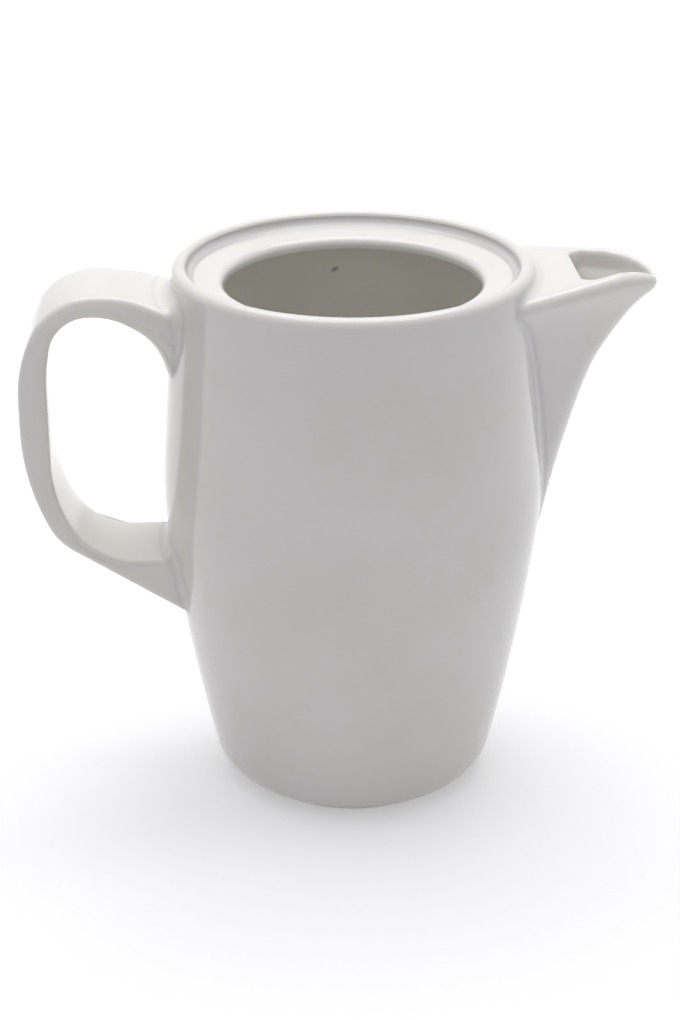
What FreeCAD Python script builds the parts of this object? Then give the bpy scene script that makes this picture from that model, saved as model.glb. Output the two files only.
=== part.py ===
import FreeCAD, Part
import math
import os
import re
import Sketcher

# Porcelain coffee pot without its lid: a tapered body with a foot ring, a lid seat, a beak spout
# with a bridge, and a strap handle, stuck together with beads of slip.
# Millimetres; Z is the pot's axis, the spout points to +X and the handle to -X,
# and the origin is the centre of the surface that the pot stands on.

doc = FreeCAD.newDocument("coffee_pot")
sheet = doc.addObject("Spreadsheet::Sheet", "Dimensions")

# Names in the sheet, and the smallest length that counts as one
NAMES = set()
TINY = 1e-6
CLOSE = 1e-4

# Driving dimensions, lengths in mm and angles in degrees
DRIVING = {
    "height": 158,
    "wall": 4,
    # Outer wall: belly arc, long lower arc, straight upper taper, rounded base
    "belly_radius": 54.7,
    "belly_height": 92.5,
    "belly_arc": 115,
    "upper_taper": 3.8,
    "lower_turn": 7.1,
    "lower_arc": 652,
    "base_turn": 13.2,
    "base_round": 12,
    "floor_thickness": 5,
    "inner_round": 11,
    # Foot ring
    "foot_outer": 33,
    "foot_inner": 27,
    "foot_round": 0.8,
    "foot_recess": 1.2,
    # Lip and lid seat
    "lip_outer_round": 2.6,
    "lip_inner_round": 1.3,
    "mouth_radius": 36.2,
    "mouth_round": 2.2,
    "mouth_under_round": 0.5,
    "ledge_outer_height": 154.6,
    "ledge_inner_height": 153.2,
    "seat_under_height": 149.8,
    "seat_bead": 2.2,
    # Strap handle, reach measured from the axis
    "handle_width": 28.4,
    "handle_edge": 1.8,
    "arm_crown": 153.7,
    "arm_length": 72,
    "arm_root_round": 48,
    "arm_turn": 62,
    "shoulder_round": 19.5,
    "bar_upper_round": 43,
    "bar_straight": 8.3,
    "bar_lower_round": 70,
    "bar_lower_turn": 25.5,
    "elbow_round": 18,
    "lower_arm_lean": 57,
    "root_depth": 46,
    "gap_floor": 74.3,
    "gap_floor_reach": 63.5,
    "gap_floor_turn": 62,
    "gap_elbow_round": 20,
    "gap_bar_round": 42,
    "gap_straight": 21.3,
    "gap_upper_round": 60,
    "gap_upper_turn": 12,
    "gap_top_round": 11.5,
    "gap_top_flat": 0.4,
    "root_flare": 20,
    "root_flare_turn": 72,
    # Beak spout: deck, opening and channel
    "deck_height": 154.2,
    "deck_rise": 5,
    "deck_edge": 2.6,
    "droop_reach": 71,
    "droop_round": 24,
    "droop_turn": 48,
    "spout_lean": 27.7,
    "spout_wall": 3.6,
    "spout_back": 30,
    "bridge_end": 63,
    "opening_corner": 3.2,
    "opening_edge": 0.8,
    # Pour hole through the wall behind the spout
    "pour_width": 19,
    "pour_round": 9,
    "pour_low": 111,
    "pour_high": 143,
    # Slip that sticks the handle and the spout to the wall
    "slip": 0.8,
}

# Stations of the spout from its tip down: height, reach of the keel, nose radius
SPOUT_STATIONS = [
    ("rim", 160.8, 92, 9.6),
    ("tip", 150.8, 88.2, 9.6),
    ("beak", 146.8, 83, 9.8),
    ("throat", 141.8, 78.2, 10.2),
    ("upper", 130.8, 70.7, 11.5),
    ("middle", 113.8, 64.1, 13.5),
    ("lower", 96.8, 59.3, 14),
    ("heel", 80.8, 55.7, 13),
    ("root", 70.8, 52.4, 12),
]

# Worked-out places of the outer wall: ends of its arcs, all tangent to each other
DERIVED = {
    "belly_centre": "=belly_radius - belly_arc",
    "upper_r": "=belly_centre + belly_arc * cos(upper_taper)",
    "upper_z": "=belly_height + belly_arc * sin(upper_taper)",
    "lower_r": "=belly_centre + belly_arc * cos(lower_turn)",
    "lower_z": "=belly_height - belly_arc * sin(lower_turn)",
    "lower_centre_r": "=lower_r - lower_arc * cos(lower_turn)",
    "lower_centre_z": "=lower_z + lower_arc * sin(lower_turn)",
    "base_r": "=lower_centre_r + lower_arc * cos(base_turn)",
    "base_z": "=lower_centre_z - lower_arc * sin(base_turn)",
    "base_centre_r": "=base_r - base_round * cos(base_turn)",
    "base_centre_z": "=base_z + base_round * sin(base_turn)",
    "foot_top": "=base_centre_z - sqrt(base_round^2 - (foot_outer - base_centre_r)^2)",
    "recess_z": "=foot_top + foot_recess",
    "floor_z": "=recess_z + floor_thickness",
    "lip_z": "=height - lip_outer_round + lip_outer_round * sin(upper_taper)",
    "lip_r": "=upper_r - (lip_z - upper_z) * tan(upper_taper)",
    "crest_outer": "=lip_r - lip_outer_round * cos(upper_taper)",
    "inner_upper_r": "=upper_r - wall * cos(upper_taper)",
    "inner_upper_z": "=upper_z - wall * sin(upper_taper)",
    "inner_lower_r": "=lower_r - wall * cos(lower_turn)",
    "inner_lower_z": "=lower_z + wall * sin(lower_turn)",
    "inner_lip_z": "=height - lip_inner_round - lip_inner_round * sin(upper_taper)",
    "inner_lip_r": "=inner_upper_r - (inner_lip_z - inner_upper_z) * tan(upper_taper)",
    "crest_inner": "=inner_lip_r + lip_inner_round * cos(upper_taper)",
    "inner_arc": "=lower_arc - wall",
    "inner_round_z": "=floor_z + inner_round - inner_round * sin(base_turn)",
    "inner_round_turn": "=asin((lower_centre_z - inner_round_z) / inner_arc)",
    "inner_round_r": "=lower_centre_r + inner_arc * cos(inner_round_turn)",
    "floor_round_r": "=inner_round_r - inner_round * cos(inner_round_turn)",
    "seat_r": "=inner_upper_r - (ledge_outer_height - inner_upper_z) * tan(upper_taper)",
    "seat_under_r": "=inner_upper_r - (seat_under_height - inner_upper_z) * tan(upper_taper)",
    "ledge_inner_r": "=mouth_radius + mouth_round",
    "ledge_slope": "=atan((ledge_outer_height - ledge_inner_height) / (seat_r - ledge_inner_r))",
    "arm_root_z": "=arm_crown - arm_root_round + sqrt(arm_root_round^2 - (arm_length - root_depth)^2)",
    "seat_bead_round": "=seat_bead * tan(45 + upper_taper / 2 + ledge_slope / (2 deg))",
    "shoulder_x": "=arm_length + shoulder_round * sin(arm_turn)",
    "shoulder_z": "=arm_crown - shoulder_round * (1 - cos(arm_turn))",
    "bar_x": "=shoulder_x + bar_upper_round * (1 - sin(arm_turn))",
    "bar_top_z": "=shoulder_z - bar_upper_round * cos(arm_turn)",
    "bar_low_z": "=bar_top_z - bar_straight",
    "elbow_x": "=bar_x - bar_lower_round * (1 - cos(bar_lower_turn))",
    "elbow_z": "=bar_low_z - bar_lower_round * sin(bar_lower_turn)",
    "heel_x": "=elbow_x - elbow_round * (cos(bar_lower_turn) - cos(lower_arm_lean))",
    "heel_z": "=elbow_z - elbow_round * (sin(lower_arm_lean) - sin(bar_lower_turn))",
    "lower_root_z": "=heel_z - (heel_x - root_depth) / tan(lower_arm_lean)",
    "gap_elbow_x": "=gap_floor_reach + gap_elbow_round * sin(gap_floor_turn)",
    "gap_elbow_z": "=gap_floor + gap_elbow_round * (1 - cos(gap_floor_turn))",
    "gap_bar_x": "=gap_elbow_x + gap_bar_round * (1 - sin(gap_floor_turn))",
    "gap_bar_z": "=gap_elbow_z + gap_bar_round * cos(gap_floor_turn)",
    "gap_bar_top": "=gap_bar_z + gap_straight",
    "gap_upper_x": "=gap_bar_x - gap_upper_round * (1 - cos(gap_upper_turn))",
    "gap_upper_z": "=gap_bar_top + gap_upper_round * sin(gap_upper_turn)",
    "gap_top_x": "=gap_upper_x - gap_top_round * cos(gap_upper_turn)",
    "gap_top_z": "=gap_upper_z + gap_top_round * (1 - sin(gap_upper_turn))",
    "flare_x": "=gap_top_x - gap_top_flat",
    "flare_low_x": "=flare_x - root_flare * sin(root_flare_turn)",
    "flare_low_z": "=gap_top_z - root_flare * (1 - cos(root_flare_turn))",
    "flare_root_z": "=flare_low_z - (flare_low_x - root_depth) * tan(root_flare_turn)",
    "droop_z": "=deck_height + (droop_reach - lip_r) * tan(deck_rise)",
    "droop_end_x": "=droop_reach + droop_round * (sin(deck_rise) + sin(droop_turn))",
    "droop_end_z": "=droop_z - droop_round * (cos(deck_rise) - cos(droop_turn))",
}


def fill_sheet():
    """Write every dimension into the sheet, one row each, with its name as the alias."""
    rows = dict(DRIVING)
    for station, level, reach, nose in SPOUT_STATIONS:
        rows["station_%s_height" % station] = level
        rows["station_%s_reach" % station] = reach
        rows["station_%s_nose" % station] = nose
    rows.update(DERIVED)
    for row, (alias, value) in enumerate(rows.items(), start=1):
        sheet.set("A%d" % row, alias)
        sheet.set("B%d" % row, str(value))
        sheet.setAlias("B%d" % row, alias)
        NAMES.add(alias)
    doc.recompute()


def value(expression):
    """Return the number that an expression of sheet names has now."""
    result = sheet.evalExpression(expression)
    return float(getattr(result, "Value", result))


def bind(expression):
    """Return the expression with each sheet name written as a reference to the sheet."""
    return re.sub(r"[a-z_]+", lambda word: sheet_reference(word.group()), expression)


def sheet_reference(word):
    """Return a sheet name with its sheet in front, and any other word as it is."""
    return "Dimensions." + word if word in NAMES else word


def plane(body, role):
    """Return the body's own origin plane with that role."""
    return next(item for item in body.Origin.OriginFeatures if item.Role == role)


def new_sketch(body, name, role, offset=None):
    """Add a sketch to a body on one of its origin planes, moved by an offset."""
    sketch = body.newObject("Sketcher::SketchObject", name)
    sketch.AttachmentSupport = [(plane(body, role), "")]
    sketch.MapMode = "FlatFace"
    if offset is not None:
        sketch.AttachmentOffset = offset
    return sketch


def arc_between(start, end, radius):
    """Return the short arc from start to end: a positive radius turns left, a negative one right."""
    chord = end - start
    half = chord.Length / 2
    rise = math.sqrt(max(radius * radius - half * half, 0.0))
    left = FreeCAD.Vector(-chord.y, chord.x, 0).normalize()
    centre = (start + end) * 0.5 + left * (rise if radius > 0 else -rise)
    first, last = (start, end) if radius > 0 else (end, start)
    angles = [math.atan2(point.y - centre.y, point.x - centre.x) for point in (first, last)]
    circle = Part.Circle(centre, FreeCAD.Vector(0, 0, 1), abs(radius))
    return Part.ArcOfCircle(circle, angles[0], angles[1])


def draw(sketch, corners):
    """Draw a closed outline and bind its sizes to the sheet.

    Each corner is (x, y) or (x, y, radius): its two expressions, and the radius of the arc that
    runs from it to the next corner, with a minus sign where the arc turns right.
    """
    points = [FreeCAD.Vector(value(corner[0]), value(corner[1]), 0) for corner in corners]
    ends = []
    for index, corner in enumerate(corners):
        start = points[index]
        end = points[(index + 1) % len(points)]
        if len(corner) == 3:
            radius = value(corner[2])
            geometry = sketch.addGeometry(arc_between(start, end, radius), False)
            ends.append((geometry, 1, 2) if radius > 0 else (geometry, 2, 1))
            number = sketch.addConstraint(Sketcher.Constraint("Radius", geometry, abs(radius)))
            sketch.setExpression("Constraints[%d]" % number, "abs(%s)" % bind(corner[2]))
        else:
            geometry = sketch.addGeometry(Part.LineSegment(start, end), False)
            ends.append((geometry, 1, 2))
    for index, (geometry, first, last) in enumerate(ends):
        follower = ends[(index + 1) % len(ends)]
        sketch.addConstraint(Sketcher.Constraint("Coincident", geometry, last, follower[0], follower[1]))
    for index, corner in enumerate(corners):
        geometry, first, last = ends[index]
        for kind, axis, place, expression in (("DistanceX", -2, points[index].x, corner[0]),
                                              ("DistanceY", -1, points[index].y, corner[1])):
            if abs(place) < TINY:
                sketch.addConstraint(Sketcher.Constraint("PointOnObject", geometry, first, axis))
                continue
            ends_of = (-1, 1, geometry, first) if place > 0 else (geometry, first, -1, 1)
            number = sketch.addConstraint(Sketcher.Constraint(kind, *ends_of, abs(place)))
            sketch.setExpression("Constraints[%d]" % number, "abs(%s)" % bind(expression))


def new_body(name):
    """Add an empty body whose label names its node."""
    body = doc.addObject("PartDesign::Body", name)
    body.Label = name
    return body


def turned(body, corners, name="turned"):
    """Turn an outline of radius and height all the way round the pot's axis."""
    sketch = new_sketch(body, name + "_outline", "XZ_Plane")
    draw(sketch, corners)
    feature = body.newObject("PartDesign::Revolution", name)
    feature.Profile = sketch
    feature.ReferenceAxis = (sketch, ["V_Axis"])
    feature.Angle = 360
    doc.recompute()
    return feature


def wall_outline(standoff="0"):
    """Return the corners of the outer wall from the foot up to the lip, moved outwards by a standoff."""
    corners = [
        ("foot_outer", "foot_top", "base_round"),
        ("base_r", "base_z", "lower_arc"),
        ("lower_r", "lower_z", "belly_arc"),
        ("upper_r", "upper_z"),
        ("lip_r", "lip_z"),
    ]
    return [("%s + %s" % (corner[0], standoff),) + corner[1:] for corner in corners]


def seat_on_wall(body, standoff):
    """Cut away whatever of a body lies inside the pot's outer wall, moved outwards by a standoff."""
    sketch = new_sketch(body, "wall_cut_outline", "XZ_Plane")
    above = "height + wall"
    lid = [("lip_r + " + standoff, above), ("0", above)]
    draw(sketch, [("0", "foot_top")] + wall_outline(standoff) + lid)
    feature = body.newObject("PartDesign::Groove", "wall_cut")
    feature.Profile = sketch
    feature.ReferenceAxis = (sketch, ["V_Axis"])
    feature.Angle = 360
    doc.recompute()
    return feature


def make_pot_body():
    """Turn the wall, the lip and the floor, and cut the pour hole."""
    body = new_body("pot_body")
    corners = [("0", "recess_z"), ("foot_inner", "recess_z"), ("foot_inner", "foot_top")]
    corners += wall_outline()[:-1]
    corners += [
        ("lip_r", "lip_z", "lip_outer_round"),
        ("crest_outer", "height"),
        ("crest_inner", "height", "lip_inner_round"),
        ("inner_lip_r", "inner_lip_z"),
        ("inner_upper_r", "inner_upper_z", "-(belly_arc - wall)"),
        ("inner_lower_r", "inner_lower_z", "-inner_arc"),
        ("inner_round_r", "inner_round_z", "-inner_round"),
        ("floor_round_r", "floor_z"),
        ("0", "floor_z"),
    ]
    turned(body, corners, "wall_and_floor")

    aside = FreeCAD.Placement(FreeCAD.Vector(-value("pour_width / 2"), 0, 0), FreeCAD.Rotation())
    hole = new_sketch(body, "pour_hole_outline", "YZ_Plane", aside)
    hole.setExpression(".AttachmentOffset.Base.x", "-Dimensions.pour_width / 2")
    draw(hole, [
        ("pour_round", "pour_low"),
        ("pour_width - pour_round", "pour_low", "pour_round"),
        ("pour_width", "pour_low + pour_round"),
        ("pour_width", "pour_high - pour_round", "pour_round"),
        ("pour_width - pour_round", "pour_high"),
        ("pour_round", "pour_high", "pour_round"),
        ("0", "pour_high - pour_round"),
        ("0", "pour_low + pour_round", "pour_round"),
    ])
    cut = body.newObject("PartDesign::Pocket", "pour_hole")
    cut.Profile = hole
    cut.Type = "Length"
    cut.Reversed = True
    cut.setExpression("Length", "Dimensions.belly_radius + Dimensions.wall")
    doc.recompute()
    return body


def make_foot_ring():
    """Turn the bare ring that the pot stands on."""
    body = new_body("foot_ring")
    turned(body, [
        ("foot_inner", "foot_round", "foot_round"),
        ("foot_inner + foot_round", "0"),
        ("foot_outer - foot_round", "0", "foot_round"),
        ("foot_outer", "foot_round"),
        ("foot_outer", "foot_top"),
        ("foot_inner", "foot_top"),
    ], "ring")
    return body


def make_lid_seat():
    """Turn the ledge ring that the lid would rest on, with its rolled mouth."""
    body = new_body("lid_seat")
    turned(body, [
        ("seat_under_r", "seat_under_height"),
        ("seat_r", "ledge_outer_height"),
        ("ledge_inner_r", "ledge_inner_height", "mouth_round"),
        ("mouth_radius", "ledge_inner_height - mouth_round"),
        ("mouth_radius", "seat_under_height + mouth_under_round", "mouth_under_round"),
        ("mouth_radius + mouth_under_round", "seat_under_height"),
    ], "ledge")
    return body


def make_seat_slip():
    """Turn the bead that rounds the corner between the ledge and the lip."""
    body = new_body("seat_slip")
    turned(body, [
        ("seat_r", "ledge_outer_height"),
        ("seat_r - seat_bead * sin(upper_taper)", "ledge_outer_height + seat_bead * cos(upper_taper)",
         "-seat_bead_round"),
        ("seat_r - seat_bead * cos(ledge_slope)", "ledge_outer_height - seat_bead * sin(ledge_slope)"),
    ], "bead")
    return body


def edges_where(shape, test):
    """Return the names of the edges whose every vertex and middle pass a test."""
    names = []
    for number, edge in enumerate(shape.Edges, start=1):
        middle = edge.valueAt((edge.FirstParameter + edge.LastParameter) / 2)
        if all(test(point) for point in [vertex.Point for vertex in edge.Vertexes] + [middle]):
            names.append("Edge%d" % number)
    return names


def round_edges(body, name, base, edges, expression):
    """Round the named edges of a body's last feature."""
    feature = body.newObject("PartDesign::Fillet", name)
    feature.Base = (base, edges)
    feature.setExpression("Radius", bind(expression))
    doc.recompute()
    return feature


def make_handle(name, standoff):
    """Pad the side outline of the strap, round its edges and seat its two roots on the wall."""
    body = new_body(name)
    facing_back = FreeCAD.Placement(FreeCAD.Vector(), FreeCAD.Rotation(FreeCAD.Vector(0, 1, 0), 180))
    sketch = new_sketch(body, "strap_outline", "XZ_Plane", facing_back)
    draw(sketch, [
        ("root_depth", "arm_root_z", "-arm_root_round"),
        ("arm_length", "arm_crown", "-shoulder_round"),
        ("shoulder_x", "shoulder_z", "-bar_upper_round"),
        ("bar_x", "bar_top_z"),
        ("bar_x", "bar_low_z", "-bar_lower_round"),
        ("elbow_x", "elbow_z", "-elbow_round"),
        ("heel_x", "heel_z"),
        ("root_depth", "lower_root_z"),
        ("root_depth", "gap_floor"),
        ("gap_floor_reach", "gap_floor", "gap_elbow_round"),
        ("gap_elbow_x", "gap_elbow_z", "gap_bar_round"),
        ("gap_bar_x", "gap_bar_z"),
        ("gap_bar_x", "gap_bar_top", "gap_upper_round"),
        ("gap_upper_x", "gap_upper_z", "gap_top_round"),
        ("gap_top_x", "gap_top_z"),
        ("flare_x", "gap_top_z", "root_flare"),
        ("flare_low_x", "flare_low_z"),
        ("root_depth", "flare_root_z"),
    ])
    pad = body.newObject("PartDesign::Pad", "strap")
    pad.Profile = sketch
    pad.Midplane = True
    pad.setExpression("Length", "Dimensions.handle_width")
    doc.recompute()
    side = value("handle_width / 2")
    buried = value("root_depth + wall")
    edges = edges_where(pad.Shape, lambda point: abs(abs(point.y) - side) < TINY)
    kept = [edge for edge in edges
            if any(-vertex.X > buried for vertex in pad.Shape.getElement(edge).Vertexes)]
    round_edges(body, "strap_edges", pad, kept, "handle_edge")
    seat_on_wall(body, standoff)
    return body


def wedge(station, inset, back):
    """Return the corners of the spout's outline at one station, drawn in by an inset.

    Two straight sides lean towards each other, tangent to the round nose; back closes the outline.
    """
    nose = "(station_%s_nose - %s)" % (station, inset)
    touch_x = "(station_%s_reach - %s - %s * (1 - sin(spout_lean)))" % (station, inset, nose)
    touch_y = "(%s * cos(spout_lean))" % nose
    back_y = "(%s + (%s - %s) * tan(spout_lean))" % (touch_y, touch_x, back)
    return [
        (back, "-" + back_y),
        (touch_x, "-" + touch_y, nose),
        (touch_x, touch_y),
        (back, back_y),
    ]


def lofted(body, kind, name, stations, inset):
    """Loft the spout's outline through its stations, as an added or a cut form."""
    sketches = []
    for station in stations:
        level = value("station_%s_height" % station)
        lift = FreeCAD.Placement(FreeCAD.Vector(0, 0, level), FreeCAD.Rotation())
        sketch = new_sketch(body, "%s_%s" % (name, station), "XY_Plane", lift)
        sketch.setExpression(".AttachmentOffset.Base.z", "Dimensions.station_%s_height" % station)
        draw(sketch, wedge(station, inset, "spout_back"))
        sketches.append(sketch)
    doc.recompute()
    feature = body.newObject(kind, name)
    feature.Profile = sketches[0]
    feature.Sections = sketches[1:]
    feature.Ruled = False
    doc.recompute()
    return feature


def make_spout(name, standoff):
    """Loft the beak, level its deck, hollow its channel, open the deck and seat it on the wall."""
    body = new_body(name)
    names = [station[0] for station in SPOUT_STATIONS]
    lofted(body, "PartDesign::AdditiveLoft", "beak", names, "0")

    above = new_sketch(body, "deck_outline", "XZ_Plane")
    behind = "spout_back - wall"
    beyond = "station_rim_reach + wall"
    draw(above, [
        (behind, "deck_height + (%s - lip_r) * tan(deck_rise)" % behind),
        ("droop_reach", "droop_z", "-droop_round"),
        ("droop_end_x", "droop_end_z"),
        (beyond, "droop_end_z"),
        (beyond, "height + wall"),
        (behind, "height + wall"),
    ])
    deck = body.newObject("PartDesign::Pocket", "deck")
    deck.Profile = above
    deck.Type = "ThroughAll"
    deck.Midplane = True
    doc.recompute()

    lofted(body, "PartDesign::SubtractiveLoft", "channel", names[1:-2], "spout_wall")

    lid = FreeCAD.Placement(FreeCAD.Vector(0, 0, value("height")), FreeCAD.Rotation())
    mouth = new_sketch(body, "opening_outline", "XY_Plane", lid)
    mouth.setExpression(".AttachmentOffset.Base.z", "Dimensions.height")
    rear, right, left, front = wedge("tip", "spout_wall", "bridge_end")
    inner_half = "(%s - opening_corner)" % front[1]
    shoulder = "(%s - opening_corner * tan(spout_lean))" % front[1]
    draw(mouth, [
        ("bridge_end", "-" + inner_half),
        ("bridge_end + opening_corner", "-" + shoulder),
        right,
        left,
        ("bridge_end + opening_corner", shoulder),
        ("bridge_end", inner_half),
    ])
    opening = body.newObject("PartDesign::Pocket", "opening")
    opening.Profile = mouth
    opening.Type = "Length"
    opening.setExpression("Length", bind("height - station_tip_height + opening_edge"))
    doc.recompute()

    def on_deck(point):
        """Tell whether a point lies on the deck, straight or drooping."""
        rise = math.radians(value("deck_rise"))
        along = point.x - value("droop_reach")
        level = value("droop_z") + along * math.tan(rise)
        if along > 0:
            bend = value("droop_round")
            turned_by = math.asin(along / bend - math.sin(rise))
            level = value("droop_z") - bend * (math.cos(rise) - math.cos(turned_by))
        return abs(point.z - level) < CLOSE

    def on_opening(point):
        """Tell whether a point of the deck lies within the opening's reach and width."""
        lengthwise = value("bridge_end") - CLOSE < point.x < value("station_tip_reach - spout_wall") + CLOSE
        return on_deck(point) and lengthwise and abs(point.y) < value(front[1])

    shape = opening.Shape
    inner_edges = edges_where(shape, on_opening)
    buried = value("spout_back + wall")
    outer_edges = [edge for edge in edges_where(shape, on_deck)
                   if edge not in inner_edges
                   and any(vertex.X > buried for vertex in shape.getElement(edge).Vertexes)]
    rounded = round_edges(body, "deck_edges", opening, outer_edges, "deck_edge")
    inner_edges = edges_where(rounded.Shape, on_opening)
    round_edges(body, "opening_edges", rounded, inner_edges, "opening_edge")
    seat_on_wall(body, standoff)
    return body


def make_slip(name, blank, piece, low, high):
    """Keep the slip between a piece and the wall: the blank less the piece, within a band of heights."""
    layer = doc.addObject("Part::Cut", name + "_layer")
    layer.Base = blank
    layer.Tool = piece
    band = doc.addObject("Part::Box", name + "_band")
    for side, expression in (("Length", "4 * belly_radius"), ("Width", "2 * belly_radius"),
                             ("Height", "%s - %s" % (high, low))):
        band.setExpression(side, bind(expression))
    band.setExpression(".Placement.Base.x", bind("-2 * belly_radius"))
    band.setExpression(".Placement.Base.y", bind("-belly_radius"))
    band.setExpression(".Placement.Base.z", bind(low))
    slip = doc.addObject("Part::Common", name)
    slip.Base = layer
    slip.Tool = band
    slip.Label = name
    doc.recompute()
    return slip


def check_and_write(nodes):
    """Stop on any failed object or bad shape, then write each node's solid."""
    for item in doc.Objects:
        if any(word in state for state in item.State for word in ("Invalid", "Error")):
            raise RuntimeError("%s failed: %s" % (item.Name, item.State))
    os.makedirs("parts", exist_ok=True)
    for node in nodes:
        shape = node.Shape
        if shape.isNull() or not shape.isValid() or not shape.Solids:
            raise RuntimeError("%s has no valid solid" % node.Label)
        shape.exportStep("parts/%s.step" % node.Label)
        box = shape.BoundBox
        print("%-20s solids %d  volume %9.1f  x %.1f..%.1f  y %.1f..%.1f  z %.1f..%.1f" % (
            node.Label, len(shape.Solids), shape.Volume, box.XMin, box.XMax,
            box.YMin, box.YMax, box.ZMin, box.ZMax))


fill_sheet()
handle_blank = make_handle("handle_blank", "0")
handle = make_handle("handle", "slip")
spout_blank = make_spout("spout_blank", "0")
spout = make_spout("spout", "slip")
check_and_write([
    make_pot_body(),
    make_foot_ring(),
    make_lid_seat(),
    make_seat_slip(),
    handle,
    make_slip("upper_handle_slip", handle_blank, handle, "belly_height + wall", "height"),
    make_slip("lower_handle_slip", handle_blank, handle, "foot_top", "belly_height"),
    spout,
    make_slip("spout_slip", spout_blank, spout, "foot_top", "height"),
])
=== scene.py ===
"""Glazed porcelain coffee pot without its lid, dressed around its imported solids.

Lengths are in millimetres until a mesh is made, which turns them into metres. Z is the pot's axis,
the spout points to +X and the handle to -X.
"""

import logging
import math
from dataclasses import dataclass
from enum import Enum
from typing import Callable, Sequence

import bpy
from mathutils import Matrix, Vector
from mathutils.bvhtree import BVHTree


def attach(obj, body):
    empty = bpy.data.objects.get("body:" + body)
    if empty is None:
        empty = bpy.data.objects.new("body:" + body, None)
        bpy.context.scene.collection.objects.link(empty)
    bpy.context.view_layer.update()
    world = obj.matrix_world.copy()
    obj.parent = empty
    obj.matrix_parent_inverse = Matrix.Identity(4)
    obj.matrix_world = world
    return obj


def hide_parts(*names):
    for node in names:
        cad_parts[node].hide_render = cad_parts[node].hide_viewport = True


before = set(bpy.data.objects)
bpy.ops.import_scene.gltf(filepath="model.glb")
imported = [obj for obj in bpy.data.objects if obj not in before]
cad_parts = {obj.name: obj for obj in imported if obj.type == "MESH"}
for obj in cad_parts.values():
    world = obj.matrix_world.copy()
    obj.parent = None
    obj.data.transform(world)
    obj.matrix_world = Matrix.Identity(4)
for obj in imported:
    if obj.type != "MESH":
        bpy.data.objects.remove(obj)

LOG = logging.getLogger("coffee_pot")
MM = 0.001
TAU = 2.0 * math.pi
PHOTO_LONG_SIDE = 1020

# Turn between two samples of an arc, halvings of a search, and the radius that counts as the axis
ARC_TURN = math.radians(6.0)
HALVINGS = 40
ON_AXIS = 1e-6

# Shares of a quarter where a root's rounded corner begins and ends, and the least straight side by it
CORNER_FROM = 0.4
CORNER_TO = 0.75
LEAST_STRAIGHT = 0.6

Flat = tuple[float, float]
Solid = tuple[float, float, float]
Face = tuple[int, ...]
Piece = bpy.types.Object
Finish = bpy.types.Material
Tree = bpy.types.NodeTree
Socket = bpy.types.NodeSocket


class Slot(Enum):
    """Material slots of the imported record."""

    GLAZED = "glazed_porcelain"
    BARE = "bare_porcelain"


# Outlines and meshes


@dataclass(frozen=True)
class Corner:
    """A corner of an outline, with the radius of the arc that runs from it to the next corner.

    A positive radius turns left, a negative one right, and 0 is a straight line.
    """

    across: float
    up: float
    arc: float = 0.0


def between(start: Flat, end: Flat, share: float) -> Flat:
    """Return the point at a share of the way from one point to another."""
    return start[0] + (end[0] - start[0]) * share, start[1] + (end[1] - start[1]) * share


def polar(centre: Flat, radius: float, angle: float) -> Flat:
    """Return the point at a radius and an angle round a centre."""
    return centre[0] + radius * math.cos(angle), centre[1] + radius * math.sin(angle)


def swung(start: Flat, radius: float, first: float, last: float) -> Flat:
    """Return where an arc ends that begins at a point and swings from one angle to another."""
    return polar(polar(start, -radius, first), radius, last)


def arc_points(start: Flat, end: Flat, radius: float, step: float) -> list[Flat]:
    """Sample the short arc between two points, without its end.

    Args:
        start: First point of the arc.
        end: Last point of the arc.
        radius: Radius, positive where the arc turns left.
        step: Longest distance between two samples.

    Returns:
        The samples from start on.
    """
    size, side = abs(radius), math.copysign(1.0, radius)
    chord = Vector((end[0] - start[0], end[1] - start[1]))
    half = chord.length / 2.0
    rise = math.sqrt(max(radius * radius - half * half, 0.0)) * side
    left = Vector((-chord.y, chord.x)).normalized()
    middle = Vector(start) + chord / 2.0 + left * rise
    first = math.atan2(start[1] - middle.y, start[0] - middle.x)
    turn = 2.0 * math.asin(min(half / size, 1.0)) * side
    count = max(2, math.ceil(abs(turn * radius) / min(step, size * ARC_TURN)))
    return [polar(middle, size, first + turn * index / count) for index in range(count)]


def trace(corners: Sequence[Corner], closed: bool, step: float = 2.0) -> list[Flat]:
    """Turn the corners of an outline into a row of points.

    Args:
        corners: The outline's corners in order.
        closed: Whether the last corner runs on to the first.
        step: Longest distance between two points.

    Returns:
        The points, without a repeat of the first one.
    """
    points: list[Flat] = []
    followers = list(corners[1:]) + ([corners[0]] if closed else [])
    for corner, follower in zip(corners, followers):
        start, end = (corner.across, corner.up), (follower.across, follower.up)
        if corner.arc:
            points += arc_points(start, end, corner.arc, step)
            continue
        count = max(1, math.ceil(math.dist(start, end) / step))
        points += [between(start, end, index / count) for index in range(count)]
    if not closed:
        points.append((corners[-1].across, corners[-1].up))
    return points


def smooth(mesh: bpy.types.Mesh, sharp: float) -> None:
    """Shade a mesh smooth, except at edges that turn by more than that many degrees."""
    mesh.polygons.foreach_set("use_smooth", [True] * len(mesh.polygons))
    mesh.set_sharp_from_angle(angle=math.radians(sharp))


def mesh_object(name: str, points: Sequence[Solid], faces: Sequence[Face], sharp: float = 40.0) -> Piece:
    """Make a smooth mesh object in the scene.

    Args:
        name: Name of the object and its mesh.
        points: Vertices in millimetres.
        faces: Faces by vertex number.
        sharp: Edges that turn by more than this many degrees stay sharp.

    Returns:
        The new object.
    """
    mesh = bpy.data.meshes.new(name)
    mesh.from_pydata([(x * MM, y * MM, z * MM) for x, y, z in points], [], list(faces))
    mesh.validate()
    smooth(mesh, sharp)
    mesh.update()
    piece = bpy.data.objects.new(name, mesh)
    bpy.context.scene.collection.objects.link(piece)
    return piece


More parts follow.
